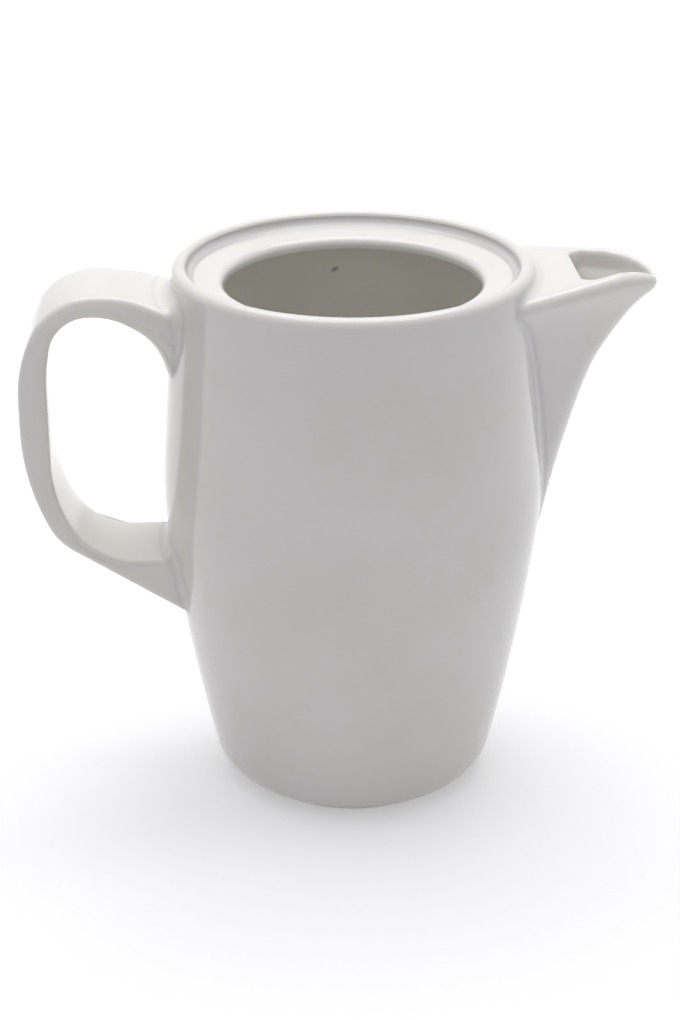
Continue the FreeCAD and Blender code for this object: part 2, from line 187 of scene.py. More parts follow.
def grid_faces(rows: int, columns: int, loop_rows: bool = False, loop_columns: bool = False) -> list[Face]:
    """Return the faces between rows of points that are numbered row after row.

    Args:
        rows: Number of rows.
        columns: Number of points in each row.
        loop_rows: Whether the last row joins the first.
        loop_columns: Whether the last point of a row joins its first.

    Returns:
        The faces.
    """
    faces: list[Face] = []
    for row in range(rows if loop_rows else rows - 1):
        low, high = row * columns, (row + 1) % rows * columns
        for place in range(columns if loop_columns else columns - 1):
            after = (place + 1) % columns
            faces.append((low + place, low + after, high + after, high + place))
    return faces


def turned(name: str, outline: Sequence[Flat], closed: bool, segments: int = 288) -> Piece:
    """Turn an outline of radius and height round the pot's axis.

    Args:
        name: Name of the new object.
        outline: Points of radius and height, with the solid on their left.
        closed: Whether the last point joins the first one.
        segments: Number of steps round the axis.

    Returns:
        The new object.
    """
    points: list[Solid] = []
    rings: list[list[int]] = []
    for radius, up in outline:
        if radius < ON_AXIS:
            rings.append([len(points)] * segments)
            points.append((0.0, 0.0, up))
            continue
        rings.append(list(range(len(points), len(points) + segments)))
        for index in range(segments):
            angle = TAU * index / segments
            points.append((*polar((0.0, 0.0), radius, angle), up))
    faces: list[Face] = []
    pairs = list(zip(rings, rings[1:])) + ([(rings[-1], rings[0])] if closed else [])
    for low, high in pairs:
        for index in range(segments):
            after = (index + 1) % segments
            corner = (low[index], low[after], high[after], high[index])
            faces.append(tuple(dict.fromkeys(corner)))
    return mesh_object(name, points, faces)


def settle(piece: Piece, sharp: float = 40.0) -> Piece:
    """Turn a piece's modifiers into its own mesh, shade it smooth and return the piece."""
    shaped = piece.evaluated_get(bpy.context.evaluated_depsgraph_get())
    mesh = bpy.data.meshes.new_from_object(shaped)
    piece.modifiers.clear()
    piece.data = mesh
    smooth(mesh, sharp)
    return piece


# Finishes


def linear(colour: str) -> tuple[float, float, float, float]:
    """Turn an sRGB hex colour into linear red, green, blue and full alpha."""
    channels = [int(colour[place:place + 2], 16) / 255.0 for place in (1, 3, 5)]
    red, green, blue = [c / 12.92 if c <= 0.04045 else ((c + 0.055) / 1.055) ** 2.4 for c in channels]
    return red, green, blue, 1.0


def add_node(tree: Tree, kind: str, links: dict[str, object] | None = None,
             **settings: object) -> bpy.types.Node:
    """Add a node with its settings and inputs.

    Args:
        tree: Node tree that gets the node.
        kind: Type name of the shader node, without its prefix.
        links: Inputs by name or number: an output socket to link from, or a value.
        settings: Properties of the node.

    Returns:
        The new node.
    """
    node = tree.nodes.new("ShaderNode" + kind)
    for key, setting in settings.items():
        setattr(node, key, setting)
    for key, source in (links or {}).items():
        socket = node.inputs[int(key) if key.isdigit() else key]
        if isinstance(source, Socket):
            tree.links.new(source, socket)
        else:
            socket.default_value = source
    return node


def new_material(name: str) -> tuple[Finish, Tree]:
    """Make a material with an empty node tree and return both."""
    material = bpy.data.materials.new(name)
    material.use_nodes = True
    material.node_tree.nodes.clear()
    return material, material.node_tree


def per_metre(millimetres: float) -> float:
    """Return the noise scale whose features are that many millimetres apart."""
    return 1.0 / (millimetres * MM)


@dataclass(frozen=True)
class GlazedPorcelain:
    """Hard porcelain under a clear feldspar glaze, fired to a wet gloss.

    The body is a cool white that turns a little greener where the glaze lies thick. The glaze has a
    very shallow ripple, which bends reflections, a few tiny iron specks, and one longer fleck that is
    burnt in on the far inner wall.
    """

    name: str = "porcelain_under_clear_glaze"
    body: str = "#F3F2EC"
    pooled: str = "#EAEAE0"
    speck: str = "#7C756A"
    ior: float = 1.52
    roughness: float = 0.09
    roughness_spread: float = 0.05
    ripple_mm: float = 14.0
    ripple_depth_mm: float = 0.020
    cloud_mm: float = 38.0
    translucent: float = 0.35
    depth_mm: float = 4.0
    speck_pitch_mm: float = 9.0
    speck_size_mm: float = 0.34
    speck_share: float = 0.015
    fleck_place_mm: Solid = (-1.65, 47.8, 140.0)
    fleck_half_mm: Solid = (1.4, 3.0, 0.7)
    fleck_tilt: float = math.radians(-34.0)

    def make(self) -> Finish:
        """Build the glaze's node tree and return the material."""
        material, tree = new_material(self.name)
        place = add_node(tree, "TexCoord").outputs["Object"]
        cloud = add_node(tree, "TexNoise", {
            "Vector": place, "Scale": per_metre(self.cloud_mm), "Detail": 3.0, "Roughness": 0.5})
        thick = add_node(tree, "MapRange", {
            "Value": cloud.outputs["Fac"], "From Min": 0.35, "From Max": 0.75, "To Min": 0.0, "To Max": 0.5},
            interpolation_type="SMOOTHSTEP")
        tone = add_node(tree, "Mix", {
            "0": thick.outputs["Result"], "6": linear(self.body), "7": linear(self.pooled)}, data_type="RGBA")
        cells = add_node(tree, "TexVoronoi", {
            "Vector": place, "Scale": per_metre(self.speck_pitch_mm), "Randomness": 1.0})
        chosen = add_node(tree, "SeparateColor", {"Color": cells.outputs["Color"]})
        rare = add_node(tree, "Math", {
            "0": chosen.outputs["Red"], "1": 1.0 - self.speck_share}, operation="GREATER_THAN")
        near = add_node(tree, "MapRange", {
            "Value": cells.outputs["Distance"],
            "From Min": 0.5 * self.speck_size_mm / self.speck_pitch_mm,
            "From Max": self.speck_size_mm / self.speck_pitch_mm, "To Min": 1.0, "To Max": 0.0})
        dot = add_node(tree, "Math", {
            "0": rare.outputs["Value"], "1": near.outputs["Result"]}, operation="MULTIPLY")
        spot = add_node(tree, "Mapping", {
            "Vector": place, "Location": Vector(self.fleck_place_mm) * MM,
            "Rotation": (0.0, self.fleck_tilt, 0.0), "Scale": Vector(self.fleck_half_mm) * MM},
            vector_type="TEXTURE")
        away = add_node(tree, "VectorMath", {"0": spot.outputs["Vector"]}, operation="LENGTH")
        fleck = add_node(tree, "MapRange", {
            "Value": away.outputs["Value"], "From Min": 0.3, "From Max": 1.3, "To Min": 0.7, "To Max": 0.0})
        iron = add_node(tree, "Math", {
            "0": dot.outputs["Value"], "1": fleck.outputs["Result"]}, operation="MAXIMUM")
        colour = add_node(tree, "Mix", {
            "0": iron.outputs["Value"], "6": tone.outputs[2], "7": linear(self.speck)}, data_type="RGBA")
        ripple = add_node(tree, "TexNoise", {
            "Vector": place, "Scale": per_metre(self.ripple_mm), "Detail": 1.5, "Roughness": 0.4})
        gloss = add_node(tree, "MapRange", {
            "Value": cloud.outputs["Fac"], "From Min": 0.3, "From Max": 0.7,
            "To Min": self.roughness, "To Max": self.roughness + self.roughness_spread})
        bump = add_node(tree, "Bump", {
            "Height": ripple.outputs["Fac"], "Strength": 1.0, "Distance": self.ripple_depth_mm * MM})
        surface = add_node(tree, "BsdfPrincipled", {
            "Base Color": colour.outputs[2], "Roughness": gloss.outputs["Result"], "IOR": self.ior,
            "Subsurface Weight": self.translucent, "Subsurface Radius": (1.0, 0.95, 0.8),
            "Subsurface Scale": self.depth_mm * MM, "Normal": bump.outputs["Normal"]})
        add_node(tree, "OutputMaterial", {"Surface": surface.outputs["BSDF"]})
        return material


@dataclass(frozen=True)
class BarePorcelain:
    """Unglazed porcelain of the foot, wiped clean before firing and sanded after it.

    It is matt and a little creamier than the glazed ware, with a fine grain that catches grey dirt.
    """

    name: str = "bare_sanded_porcelain"
    body: str = "#E3DED4"
    rubbed: str = "#C9C3B7"
    ior: float = 1.5
    roughness: float = 0.62
    grain_mm: float = 0.6
    grain_depth_mm: float = 0.03
    rub_mm: float = 6.0

    def make(self) -> Finish:
        """Build the bare foot's node tree and return the material."""
        material, tree = new_material(self.name)
        place = add_node(tree, "TexCoord").outputs["Object"]
        grain = add_node(tree, "TexNoise", {
            "Vector": place, "Scale": per_metre(self.grain_mm), "Detail": 4.0, "Roughness": 0.65})
        rub = add_node(tree, "TexNoise", {
            "Vector": place, "Scale": per_metre(self.rub_mm), "Detail": 5.0, "Roughness": 0.6})
        worn = add_node(tree, "MapRange", {
            "Value": rub.outputs["Fac"], "From Min": 0.45, "From Max": 0.8})
        colour = add_node(tree, "Mix", {
            "0": worn.outputs["Result"], "6": linear(self.body), "7": linear(self.rubbed)}, data_type="RGBA")
        bump = add_node(tree, "Bump", {
            "Height": grain.outputs["Fac"], "Strength": 0.6, "Distance": self.grain_depth_mm * MM})
        surface = add_node(tree, "BsdfPrincipled", {
            "Base Color": colour.outputs[2], "Roughness": self.roughness, "IOR": self.ior,
            "Normal": bump.outputs["Normal"]})
        add_node(tree, "OutputMaterial", {"Surface": surface.outputs["BSDF"]})
        return material


def dress(piece: Piece, finish: Finish, node: str) -> Piece:
    """Give a piece its finish and slot, and let it stand for the CAD node that it covers.

    Args:
        piece: The new piece.
        finish: Its material.
        node: CAD node that the piece replaces.

    Returns:
        The same piece.
    """
    piece.data.materials.clear()
    piece.data.materials.append(finish)
    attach(piece, "root")
    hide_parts(node)
    LOG.info("%s: %d faces, stands for %s", piece.name, len(piece.data.polygons), node)
    return piece


# Sub-assemblies


@dataclass
class PotBody:
    """The turned body: tapered wall, rounded lip and floor, with its bare foot ring."""

    height: float = 158.0
    wall: float = 4.0
    belly_radius: float = 54.7
    belly_height: float = 92.5
    belly_arc: float = 115.0
    upper_taper: float = math.radians(3.8)
    lower_turn: float = math.radians(7.1)
    lower_arc: float = 652.0
    base_turn: float = math.radians(13.2)
    base_round: float = 12.0
    floor_thickness: float = 5.0
    inner_round: float = 11.0
    foot_outer: float = 33.0
    foot_inner: float = 27.0
    foot_round: float = 0.8
    foot_recess: float = 1.2
    lip_outer_round: float = 2.6
    lip_inner_round: float = 1.3
    pour_width: float = 19.0
    pour_round: float = 9.0
    pour_low: float = 111.0
    pour_high: float = 143.0

    def __post_init__(self) -> None:
        """Work out where the arcs of the wall meet."""
        self.belly_centre = self.belly_radius - self.belly_arc
        self.upper = self.on_belly(self.upper_taper)
        self.lower = self.on_belly(-self.lower_turn)
        self.lower_centre = polar(self.lower, -self.lower_arc, -self.lower_turn)
        self.base = polar(self.lower_centre, self.lower_arc, -self.base_turn)
        self.base_centre = polar(self.base, -self.base_round, -self.base_turn)
        reach = self.foot_outer - self.base_centre[0]
        self.foot_top = self.base_centre[1] - math.sqrt(self.base_round ** 2 - reach ** 2)
        self.recess_z = self.foot_top + self.foot_recess
        self.floor_z = self.recess_z + self.floor_thickness
        self.lip_z = self.height - self.lip_outer_round * (1.0 - math.sin(self.upper_taper))
        self.lip_r = self.upper[0] - (self.lip_z - self.upper[1]) * math.tan(self.upper_taper)
        self.crest_r = self.lip_r - self.lip_outer_round * math.cos(self.upper_taper)

    def on_belly(self, turn: float) -> Flat:
        """Return the point of the belly arc at that turn above its widest place."""
        return polar((self.belly_centre, self.belly_height), self.belly_arc, turn)

    def wall_radius(self, up: float) -> float:
        """Return the outer wall's radius at a height."""
        if up > self.lip_z:
            above = min(up - self.height + self.lip_outer_round, self.lip_outer_round)
            return self.crest_r + math.sqrt(self.lip_outer_round ** 2 - above ** 2)
        if up > self.upper[1]:
            return self.upper[0] - (up - self.upper[1]) * math.tan(self.upper_taper)
        if up > self.lower[1]:
            return self.belly_centre + math.sqrt(self.belly_arc ** 2 - (up - self.belly_height) ** 2)
        if up > self.base[1]:
            return self.lower_centre[0] + math.sqrt(self.lower_arc ** 2 - (up - self.lower_centre[1]) ** 2)
        above = up - self.base_centre[1]
        return self.base_centre[0] + math.sqrt(max(self.base_round ** 2 - above ** 2, 0.0))

    def inner_radius(self, up: float) -> float:
        """Return the radius of the inner face of the straight upper wall at a height."""
        across = self.upper[0] - self.wall * math.cos(self.upper_taper)
        above = self.upper[1] - self.wall * math.sin(self.upper_taper)
        return across - (up - above) * math.tan(self.upper_taper)

    def outline(self) -> list[Flat]:
        """Return the outline from the middle of the base, up the outside and down to the inner floor."""
        taper = self.upper_taper
        inner_lip_z = self.height - self.lip_inner_round - self.lip_inner_round * math.sin(taper)
        inner_lip_r = self.inner_radius(inner_lip_z)
        inner_upper_z = self.upper[1] - self.wall * math.sin(taper)
        inner_lower = polar(self.lower, -self.wall, -self.lower_turn)
        inner_arc = self.lower_arc - self.wall
        round_z = self.floor_z + self.inner_round - self.inner_round * math.sin(self.base_turn)
        round_turn = math.asin((self.lower_centre[1] - round_z) / inner_arc)
        round_r = self.lower_centre[0] + inner_arc * math.cos(round_turn)
        return trace([
            Corner(0.0, self.recess_z),
            Corner(self.foot_inner, self.recess_z),
            Corner(self.foot_inner, self.foot_top),
            Corner(self.foot_outer, self.foot_top, self.base_round),
            Corner(*self.base, self.lower_arc),
            Corner(*self.lower, self.belly_arc),
            Corner(*self.upper),
            Corner(self.lip_r, self.lip_z, self.lip_outer_round),
            Corner(self.crest_r, self.height),
            Corner(inner_lip_r + self.lip_inner_round * math.cos(taper), self.height, self.lip_inner_round),
            Corner(inner_lip_r, inner_lip_z),
            Corner(self.inner_radius(inner_upper_z), inner_upper_z, -(self.belly_arc - self.wall)),
            Corner(*inner_lower, -inner_arc),
            Corner(round_r, round_z, -self.inner_round),
            Corner(round_r - self.inner_round * math.cos(round_turn), self.floor_z),
            Corner(0.0, self.floor_z),
        ], closed=False)

    def pour_plug(self) -> Piece:
        """Return a plug in the form of the pour hole, which runs through the wall behind the spout."""
        half, turn = self.pour_width / 2.0, self.pour_round
        low, high = self.pour_low, self.pour_high
        ring = trace([
            Corner(turn - half, low),
            Corner(half - turn, low, turn),
            Corner(half, low + turn),
            Corner(half, high - turn, turn),
            Corner(half - turn, high),
            Corner(turn - half, high, turn),
            Corner(-half, high - turn),
            Corner(-half, low + turn, turn),
        ], closed=True, step=1.0)
        count = len(ring)
        ends = (self.belly_radius - 4.0 * self.wall, self.belly_radius + 2.0 * self.wall)
        points = [(reach, across, up) for reach in ends for across, up in ring]
        caps: list[Face] = [tuple(reversed(range(count))), tuple(range(count, 2 * count))]
        return mesh_object("pour_plug", points, caps + grid_faces(len(ends), count, loop_columns=True))

    def shell(self) -> Piece:
        """Build the wall with its floor and cut the pour hole."""
        wall = turned("body_wall", self.outline(), closed=False)
        plug = self.pour_plug()
        hole = wall.modifiers.new("pour_hole", "BOOLEAN")
        hole.operation = "DIFFERENCE"
        hole.solver = "EXACT"
        hole.object = plug
        settle(wall)
        bpy.data.objects.remove(plug)
        return wall

    def build(self, glaze: Finish, bare: Finish) -> list[Piece]:
        """Build the wall with its floor, and the foot ring.

        Args:
            glaze: Finish of the body.
            bare: Finish of the foot ring.

        Returns:
            The two pieces.
        """
        shell = dress(self.shell(), glaze, "pot_body")
        ring = trace([
            Corner(self.foot_inner, self.foot_round, self.foot_round),
            Corner(self.foot_inner + self.foot_round, 0.0),
            Corner(self.foot_outer - self.foot_round, 0.0, self.foot_round),
            Corner(self.foot_outer, self.foot_round),
            Corner(self.foot_outer, self.foot_top),
            Corner(self.foot_inner, self.foot_top),
        ], closed=True)
        foot = dress(turned("bare_foot_ring", ring, closed=True), bare, "foot_ring")
        return [shell, foot]


@dataclass
class LidSeat:
    """The ledge that the lid would rest on, with its rolled mouth and the bead in its corner."""

    mouth_radius: float = 36.2
    mouth_round: float = 2.2
    mouth_under_round: float = 0.5
    ledge_outer_height: float = 154.6
    ledge_inner_height: float = 153.2
    under_height: float = 149.8
    bead: float = 2.2

    def build(self, body: PotBody, glaze: Finish) -> list[Piece]:
        """Build the ledge ring and its bead against the body's inner wall.

        Args:
            body: The body that carries the ledge.
            glaze: Finish of the ledge and the bead.

        Returns:
            The two pieces.
        """
        seat_r = body.inner_radius(self.ledge_outer_height)
        inner_r = self.mouth_radius + self.mouth_round
        ledge = trace([
            Corner(body.inner_radius(self.under_height), self.under_height),
            Corner(seat_r, self.ledge_outer_height),
            Corner(inner_r, self.ledge_inner_height, self.mouth_round),
            Corner(self.mouth_radius, self.ledge_inner_height - self.mouth_round),
            Corner(self.mouth_radius, self.under_height + self.mouth_under_round, self.mouth_under_round),
            Corner(self.mouth_radius + self.mouth_under_round, self.under_height),
        ], closed=True)
        slope = math.atan2(self.ledge_outer_height - self.ledge_inner_height, seat_r - inner_r)
        opening = math.radians(90.0) + slope + body.upper_taper
        bead_round = self.bead * math.tan(opening / 2.0)
        on_wall = (seat_r - self.bead * math.sin(body.upper_taper),
                   self.ledge_outer_height + self.bead * math.cos(body.upper_taper))
        on_ledge = polar((seat_r, self.ledge_outer_height), -self.bead, slope)
        bead = trace([
            Corner(seat_r, self.ledge_outer_height),
            Corner(*on_wall, -bead_round),
            Corner(*on_ledge),
        ], closed=True)
        return [
            dress(turned("lid_ledge", ledge, closed=True), glaze, "lid_seat"),
            dress(turned("ledge_bead", bead, closed=True), glaze, "seat_slip"),
        ]


@dataclass
class RootBead:
    """A bead of slip in the corner between the wall and the root of a handle or spout.

    It is what a ball would leave that rolls along the corner: an arc that is tangent to both sides.
    """

    body: PotBody
    piece: Piece
    surface: Callable[[float, float], Vector]
    near: float
    far: float
    closed: bool
    round_at: Callable[[float], float]
    steps: int = 240
    arc_steps: int = 12
    sunk: float = 0.01
    tail_dip: float = 0.5
    reach_step: float = 0.5
    turn_step: float = 0.004
    height_step: float = 0.05

    def __post_init__(self) -> None:
        """Keep the piece's skin at hand, in millimetres."""
        mesh = self.piece.data
        points = [vertex.co / MM for vertex in mesh.vertices]
        self.skin = BVHTree.FromPolygons(points, [tuple(face.vertices) for face in mesh.polygons])

    def touch(self, reach: float, turn: float) -> Vector:
        """Return the point of the piece's skin that is nearest to the root's plain surface."""
        return self.skin.find_nearest(self.surface(reach, turn))[0]

    def normal(self, reach: float, turn: float) -> Vector:
        """Return the outward normal of the root at a reach and a place round it."""
        step, share = self.reach_step, self.turn_step
        along = self.touch(reach + step, turn) - self.touch(reach - step, turn)
        round_it = self.touch(reach, turn + share) - self.touch(reach, turn - share)
        return round_it.cross(along).normalized()

    def wall_normal(self, point: Vector) -> Vector:
        """Return the outward normal of the wall nearest to a point."""
        below = self.body.wall_radius(point.z - self.height_step)
        above = self.body.wall_radius(point.z + self.height_step)
        slope = (below - above) / (2.0 * self.height_step)
        flat = Vector((point.x, point.y, 0.0)).normalized()
        return Vector((flat.x, flat.y, slope)).normalized()

    def clearance(self, reach: float, turn: float, radius: float) -> float:
        """Return how far the ball that touches the root there stands off the wall."""
        centre = self.touch(reach, turn) + self.normal(reach, turn) * radius
        across = math.hypot(centre.x, centre.y) - self.body.wall_radius(centre.z)
        flat = self.wall_normal(centre)
        return across * math.hypot(flat.x, flat.y) - radius

    def ring(self, turn: float) -> list[Vector]:
        """Return the bead's arc at one place round the root, from the wall to the root's surface."""
        radius = self.round_at(turn)
        low, high = self.near, self.far
        for _ in range(HALVINGS):
            middle = (low + high) / 2.0
            if self.clearance(middle, turn, radius) > 0.0:
                high = middle
            else:
                low = middle
        touch = self.touch(high, turn)
        root_normal = self.normal(high, turn)
        centre = touch + root_normal * radius
        wall_normal = self.wall_normal(centre)
        arc = []
        for index in range(self.arc_steps + 1):
            share = index / self.arc_steps
            way = wall_normal.slerp(root_normal, share, wall_normal)
            arc.append(centre - way * (radius + self.sunk * (share in (0.0, 1.0))))
        tail = (arc[0] - arc[1]).normalized() - wall_normal * self.tail_dip
        return [arc[0] + tail] + arc

    def build(self, name: str) -> Piece:
        """Build the bead round the whole root and return it."""
        count = self.steps if self.closed else self.steps + 1
        rings = [self.ring(index / self.steps) for index in range(count)]
        points = [tuple(point) for ring in rings for point in ring]
        faces = [face[::-1] for face in grid_faces(count, len(rings[0]), loop_rows=self.closed)]
        return mesh_object(name, points, faces, sharp=80.0)


def eased(value: float) -> float:
    """Return a smooth step from 0 at 0 to 1 at 1."""
    share = min(max(value, 0.0), 1.0)
    return share * share * (3.0 - 2.0 * share)


def rounded_box(half: float, low: float, high: float, edge: float, lower: Flat, turn: float) -> Flat:
    """Return the point at a share of the way round a rectangle with rounded corners.

    Args:
        half: Half of the rectangle's width.
        low: Height of its lower side.
        high: Height of its upper side.
        edge: Radius of its upper corners.
        lower: Width and height of its lower corners.
        turn: Share of the way round, from the middle of the upper side on.

    Returns:
        Position across and up.
    """
    quarter = (turn % 1.0) * 4.0
    folded = quarter % 1.0 if int(quarter) % 2 == 0 else 1.0 - quarter % 1.0
    side = 1.0 if quarter < 2.0 else -1.0
    upper = 1.0 if quarter < 1.0 or quarter >= 3.0 else -1.0
    deepest = min(lower[1], high - low - 2.0 * edge - LEAST_STRAIGHT)
    middle = max((high + low) / 2.0, low + deepest + LEAST_STRAIGHT)
    wide, deep = (edge, edge) if upper > 0.0 else (lower[0], deepest)
    flat, tall = half - wide, (high - middle if upper > 0.0 else middle - low) - deep
    if folded < CORNER_FROM:
        across, up = flat * folded / CORNER_FROM, tall + deep
    elif folded < CORNER_TO:
        angle = (folded - CORNER_FROM) / (CORNER_TO - CORNER_FROM) * math.pi / 2.0
        across, up = flat + wide * math.sin(angle), tall + deep * math.cos(angle)
    else:
        across, up = half, tall * (1.0 - folded) / (1.0 - CORNER_TO)
    return side * across, middle + upper * up


def resampled(points: Sequence[Flat], count: int) -> list[Flat]:
    """Return that many points spread evenly along a row of points."""
    lengths = [0.0]
    for start, end in zip(points, points[1:]):
        lengths.append(lengths[-1] + math.dist(start, end))
    spread: list[Flat] = []
    place = 0
    for index in range(count):
        wanted = lengths[-1] * index / (count - 1)
        while place < len(points) - 2 and lengths[place + 1] < wanted:
            place += 1
        span = lengths[place + 1] - lengths[place]
        share = (wanted - lengths[place]) / span if span else 0.0
        spread.append(between(points[place], points[place + 1], share))
    return spread


@dataclass
class StrapHandle:
    """The flat strap handle: an arched arm, an upright bar and a slanting lower arm."""

    width: float = 28.4
    edge: float = 1.9
    face_crown: float = 0.25
    side_crown: float = 0.35
    root_spread: float = 2.6
    root_spread_from: float = 64.0
    root_spread_over: float = 13.0
    flare_soften: float = 6.5
    crown: float = 153.7
    arm_length: float = 72.0
    arm_root_round: float = 48.0
    arm_turn: float = math.radians(62.0)
    shoulder_round: float = 19.5
    bar_upper_round: float = 43.0
    bar_straight: float = 8.3
    bar_lower_round: float = 70.0
    bar_lower_turn: float = math.radians(25.5)
    elbow_round: float = 18.0
    lower_lean: float = math.radians(57.0)
    root_depth: float = 46.0
    gap_floor: float = 74.3
    gap_floor_reach: float = 63.5
    gap_floor_turn: float = math.radians(62.0)
    gap_elbow_round: float = 20.0
    gap_bar_round: float = 42.0
    gap_straight: float = 21.3
    gap_upper_round: float = 60.0
    gap_upper_turn: float = math.radians(12.0)
    gap_top_round: float = 11.5
    gap_top_flat: float = 0.4
    root_flare: float = 20.0
    root_flare_turn: float = math.radians(72.0)
    upper_bead: float = 4.0
    lower_bead: float = 3.0
    span_steps: tuple[int, ...] = (64, 36, 44, 56, 56)
    span_grain: float = 0.4
    face_steps: int = 10
    edge_steps: int = 6
    side_steps: int = 6
    slope_step: float = 0.1
    bead_margin: float = 4.0

    def __post_init__(self) -> None:
        """Work out where the arcs of the outer and the inner outline meet."""
        upright = math.pi / 2.0
        arm_end = upright - self.arm_turn
        self.shoulder = swung((self.arm_length, self.crown), self.shoulder_round, upright, arm_end)
        self.bar_top = swung(self.shoulder, self.bar_upper_round, arm_end, 0.0)
        self.bar_low = (self.bar_top[0], self.bar_top[1] - self.bar_straight)
        self.elbow = swung(self.bar_low, self.bar_lower_round, 0.0, -self.bar_lower_turn)
        self.heel = swung(self.elbow, self.elbow_round, -self.bar_lower_turn, -self.lower_lean)
        floor_end = self.gap_floor_turn - upright
        floor = (self.gap_floor_reach, self.gap_floor)
        self.gap_elbow = swung(floor, self.gap_elbow_round, -upright, floor_end)
        self.gap_low = swung(self.gap_elbow, self.gap_bar_round, floor_end, 0.0)
        self.gap_high = (self.gap_low[0], self.gap_low[1] + self.gap_straight)
        self.gap_upper = swung(self.gap_high, self.gap_upper_round, 0.0, self.gap_upper_turn)
        self.gap_top = swung(self.gap_upper, self.gap_top_round, self.gap_upper_turn, upright)
        self.flare_start = (self.gap_top[0] - self.gap_top_flat, self.gap_top[1])
        self.flare_low = swung(self.flare_start, self.root_flare, upright, upright + self.root_flare_turn)

    def arm_top(self, reach: float) -> float:
        """Return the height of the upper arm's top near the body."""
        short = max(self.arm_length - reach, 0.0)
        return self.crown - self.arm_root_round + math.sqrt(self.arm_root_round ** 2 - short ** 2)

    def arm_underside(self, reach: float) -> float:
        """Return the height of the upper arm's underside where it flares into the body."""
        short = max(self.flare_start[0] - reach, 0.0)
        steep = self.root_flare * math.sin(self.root_flare_turn)
        drop = self.root_flare - math.sqrt(self.root_flare ** 2 - min(short, steep) ** 2)
        return self.flare_start[1] - drop - max(short - steep, 0.0) * math.tan(self.root_flare_turn)

    def lower_underside(self, reach: float) -> float:
        """Return the height of the lower arm's underside near the body."""
        return self.heel[1] - (self.heel[0] - reach) / math.tan(self.lower_lean)

    def half_width(self, reach: float, up: float) -> float:
        """Return half the strap's width, which spreads at the upper root."""
        if up <= self.bar_low[1]:
            return self.width / 2.0
        spread = eased((self.root_spread_from - reach) / self.root_spread_over)
        return self.width / 2.0 + self.root_spread * spread

    def inner_edge(self, reach: float, up: float) -> float:
        """Return the radius of the finger gap's edges, which are wiped soft where the arm flares."""
        spread = self.half_width(reach, up) - self.width / 2.0
        return self.edge + self.flare_soften / self.root_spread * spread

    def profile(self, edge: float) -> list[Flat]:
        """Return the profile across one face of the strap.

        Args:
            edge: Radius of the face's two edges.

        Returns:
            Places as a share of the half width, each with its distance below the face.
        """
        rim: list[Flat] = []
        for index in range(self.edge_steps):
            angle = math.pi / 2.0 * (1.0 - index / self.edge_steps)
            aside = edge * (1.0 - math.sin(angle)) / (self.width / 2.0)
            rim.append((-1.0 + aside, edge * (1.0 - math.cos(angle))))
        flat = 1.0 - 2.0 * edge / self.width
        middle = [-flat + 2.0 * flat * index / self.face_steps for index in range(self.face_steps + 1)]
        face = [(share, -self.face_crown * (1.0 - (share / flat) ** 2)) for share in middle]
        return rim + face + [(-share, inset) for share, inset in reversed(rim)]

    def outer_spans(self) -> list[list[Corner]]:
        """Return the spans of the outer outline: arm, shoulder, bar, elbow and lower arm."""
        arm = Corner(self.root_depth, self.arm_top(self.root_depth), -self.arm_root_round)
        crown = Corner(self.arm_length, self.crown, -self.shoulder_round)
        shoulder = Corner(*self.shoulder, -self.bar_upper_round)
        bar_low = Corner(*self.bar_low, -self.bar_lower_round)
        heel = Corner(*self.heel)
        root = Corner(self.root_depth, self.lower_underside(self.root_depth))
        return [
            [arm, crown],
            [crown, shoulder],
            [shoulder, Corner(*self.bar_top), bar_low],
            [bar_low, Corner(*self.elbow, -self.elbow_round), heel],
            [heel, root],
        ]

    def inner_spans(self) -> list[list[Corner]]:
        """Return the spans of the finger gap's outline that lie across from the outer ones."""
        flare_low = Corner(*self.flare_low, -self.root_flare)
        top = Corner(*self.gap_top, -self.gap_top_round)
        upper = Corner(*self.gap_upper, -self.gap_upper_round)
        low = Corner(*self.gap_low, -self.gap_bar_round)
        floor = Corner(self.gap_floor_reach, self.gap_floor)
        return [
            [Corner(self.root_depth, self.arm_underside(self.root_depth)), flare_low,
             Corner(*self.flare_start), top],
            [top, upper],
            [upper, Corner(*self.gap_high), low],
            [low, Corner(*self.gap_elbow, -self.gap_elbow_round), floor],
            [floor, Corner(self.root_depth, self.gap_floor)],
        ]

    def sampled(self, spans: Sequence[Sequence[Corner]]) -> list[Flat]:
        """Return one row of points through all spans, with the same number on every outline."""
        row: list[Flat] = []
        for span, count in zip(spans, self.span_steps):
            row += resampled(trace(span, closed=False, step=self.span_grain), count + 1)[:-1]
        return row + [(spans[-1][-1].across, spans[-1][-1].up)]

    def seated(self, body: PotBody, reach: float, across: float, up: float) -> Solid:
        """Return a point of the strap, kept from sinking further than half the wall into the body."""
        limit = body.wall_radius(up) - body.wall / 2.0
        least = math.sqrt(max(limit * limit - across * across, 0.0))
        return -max(reach, least), across, up

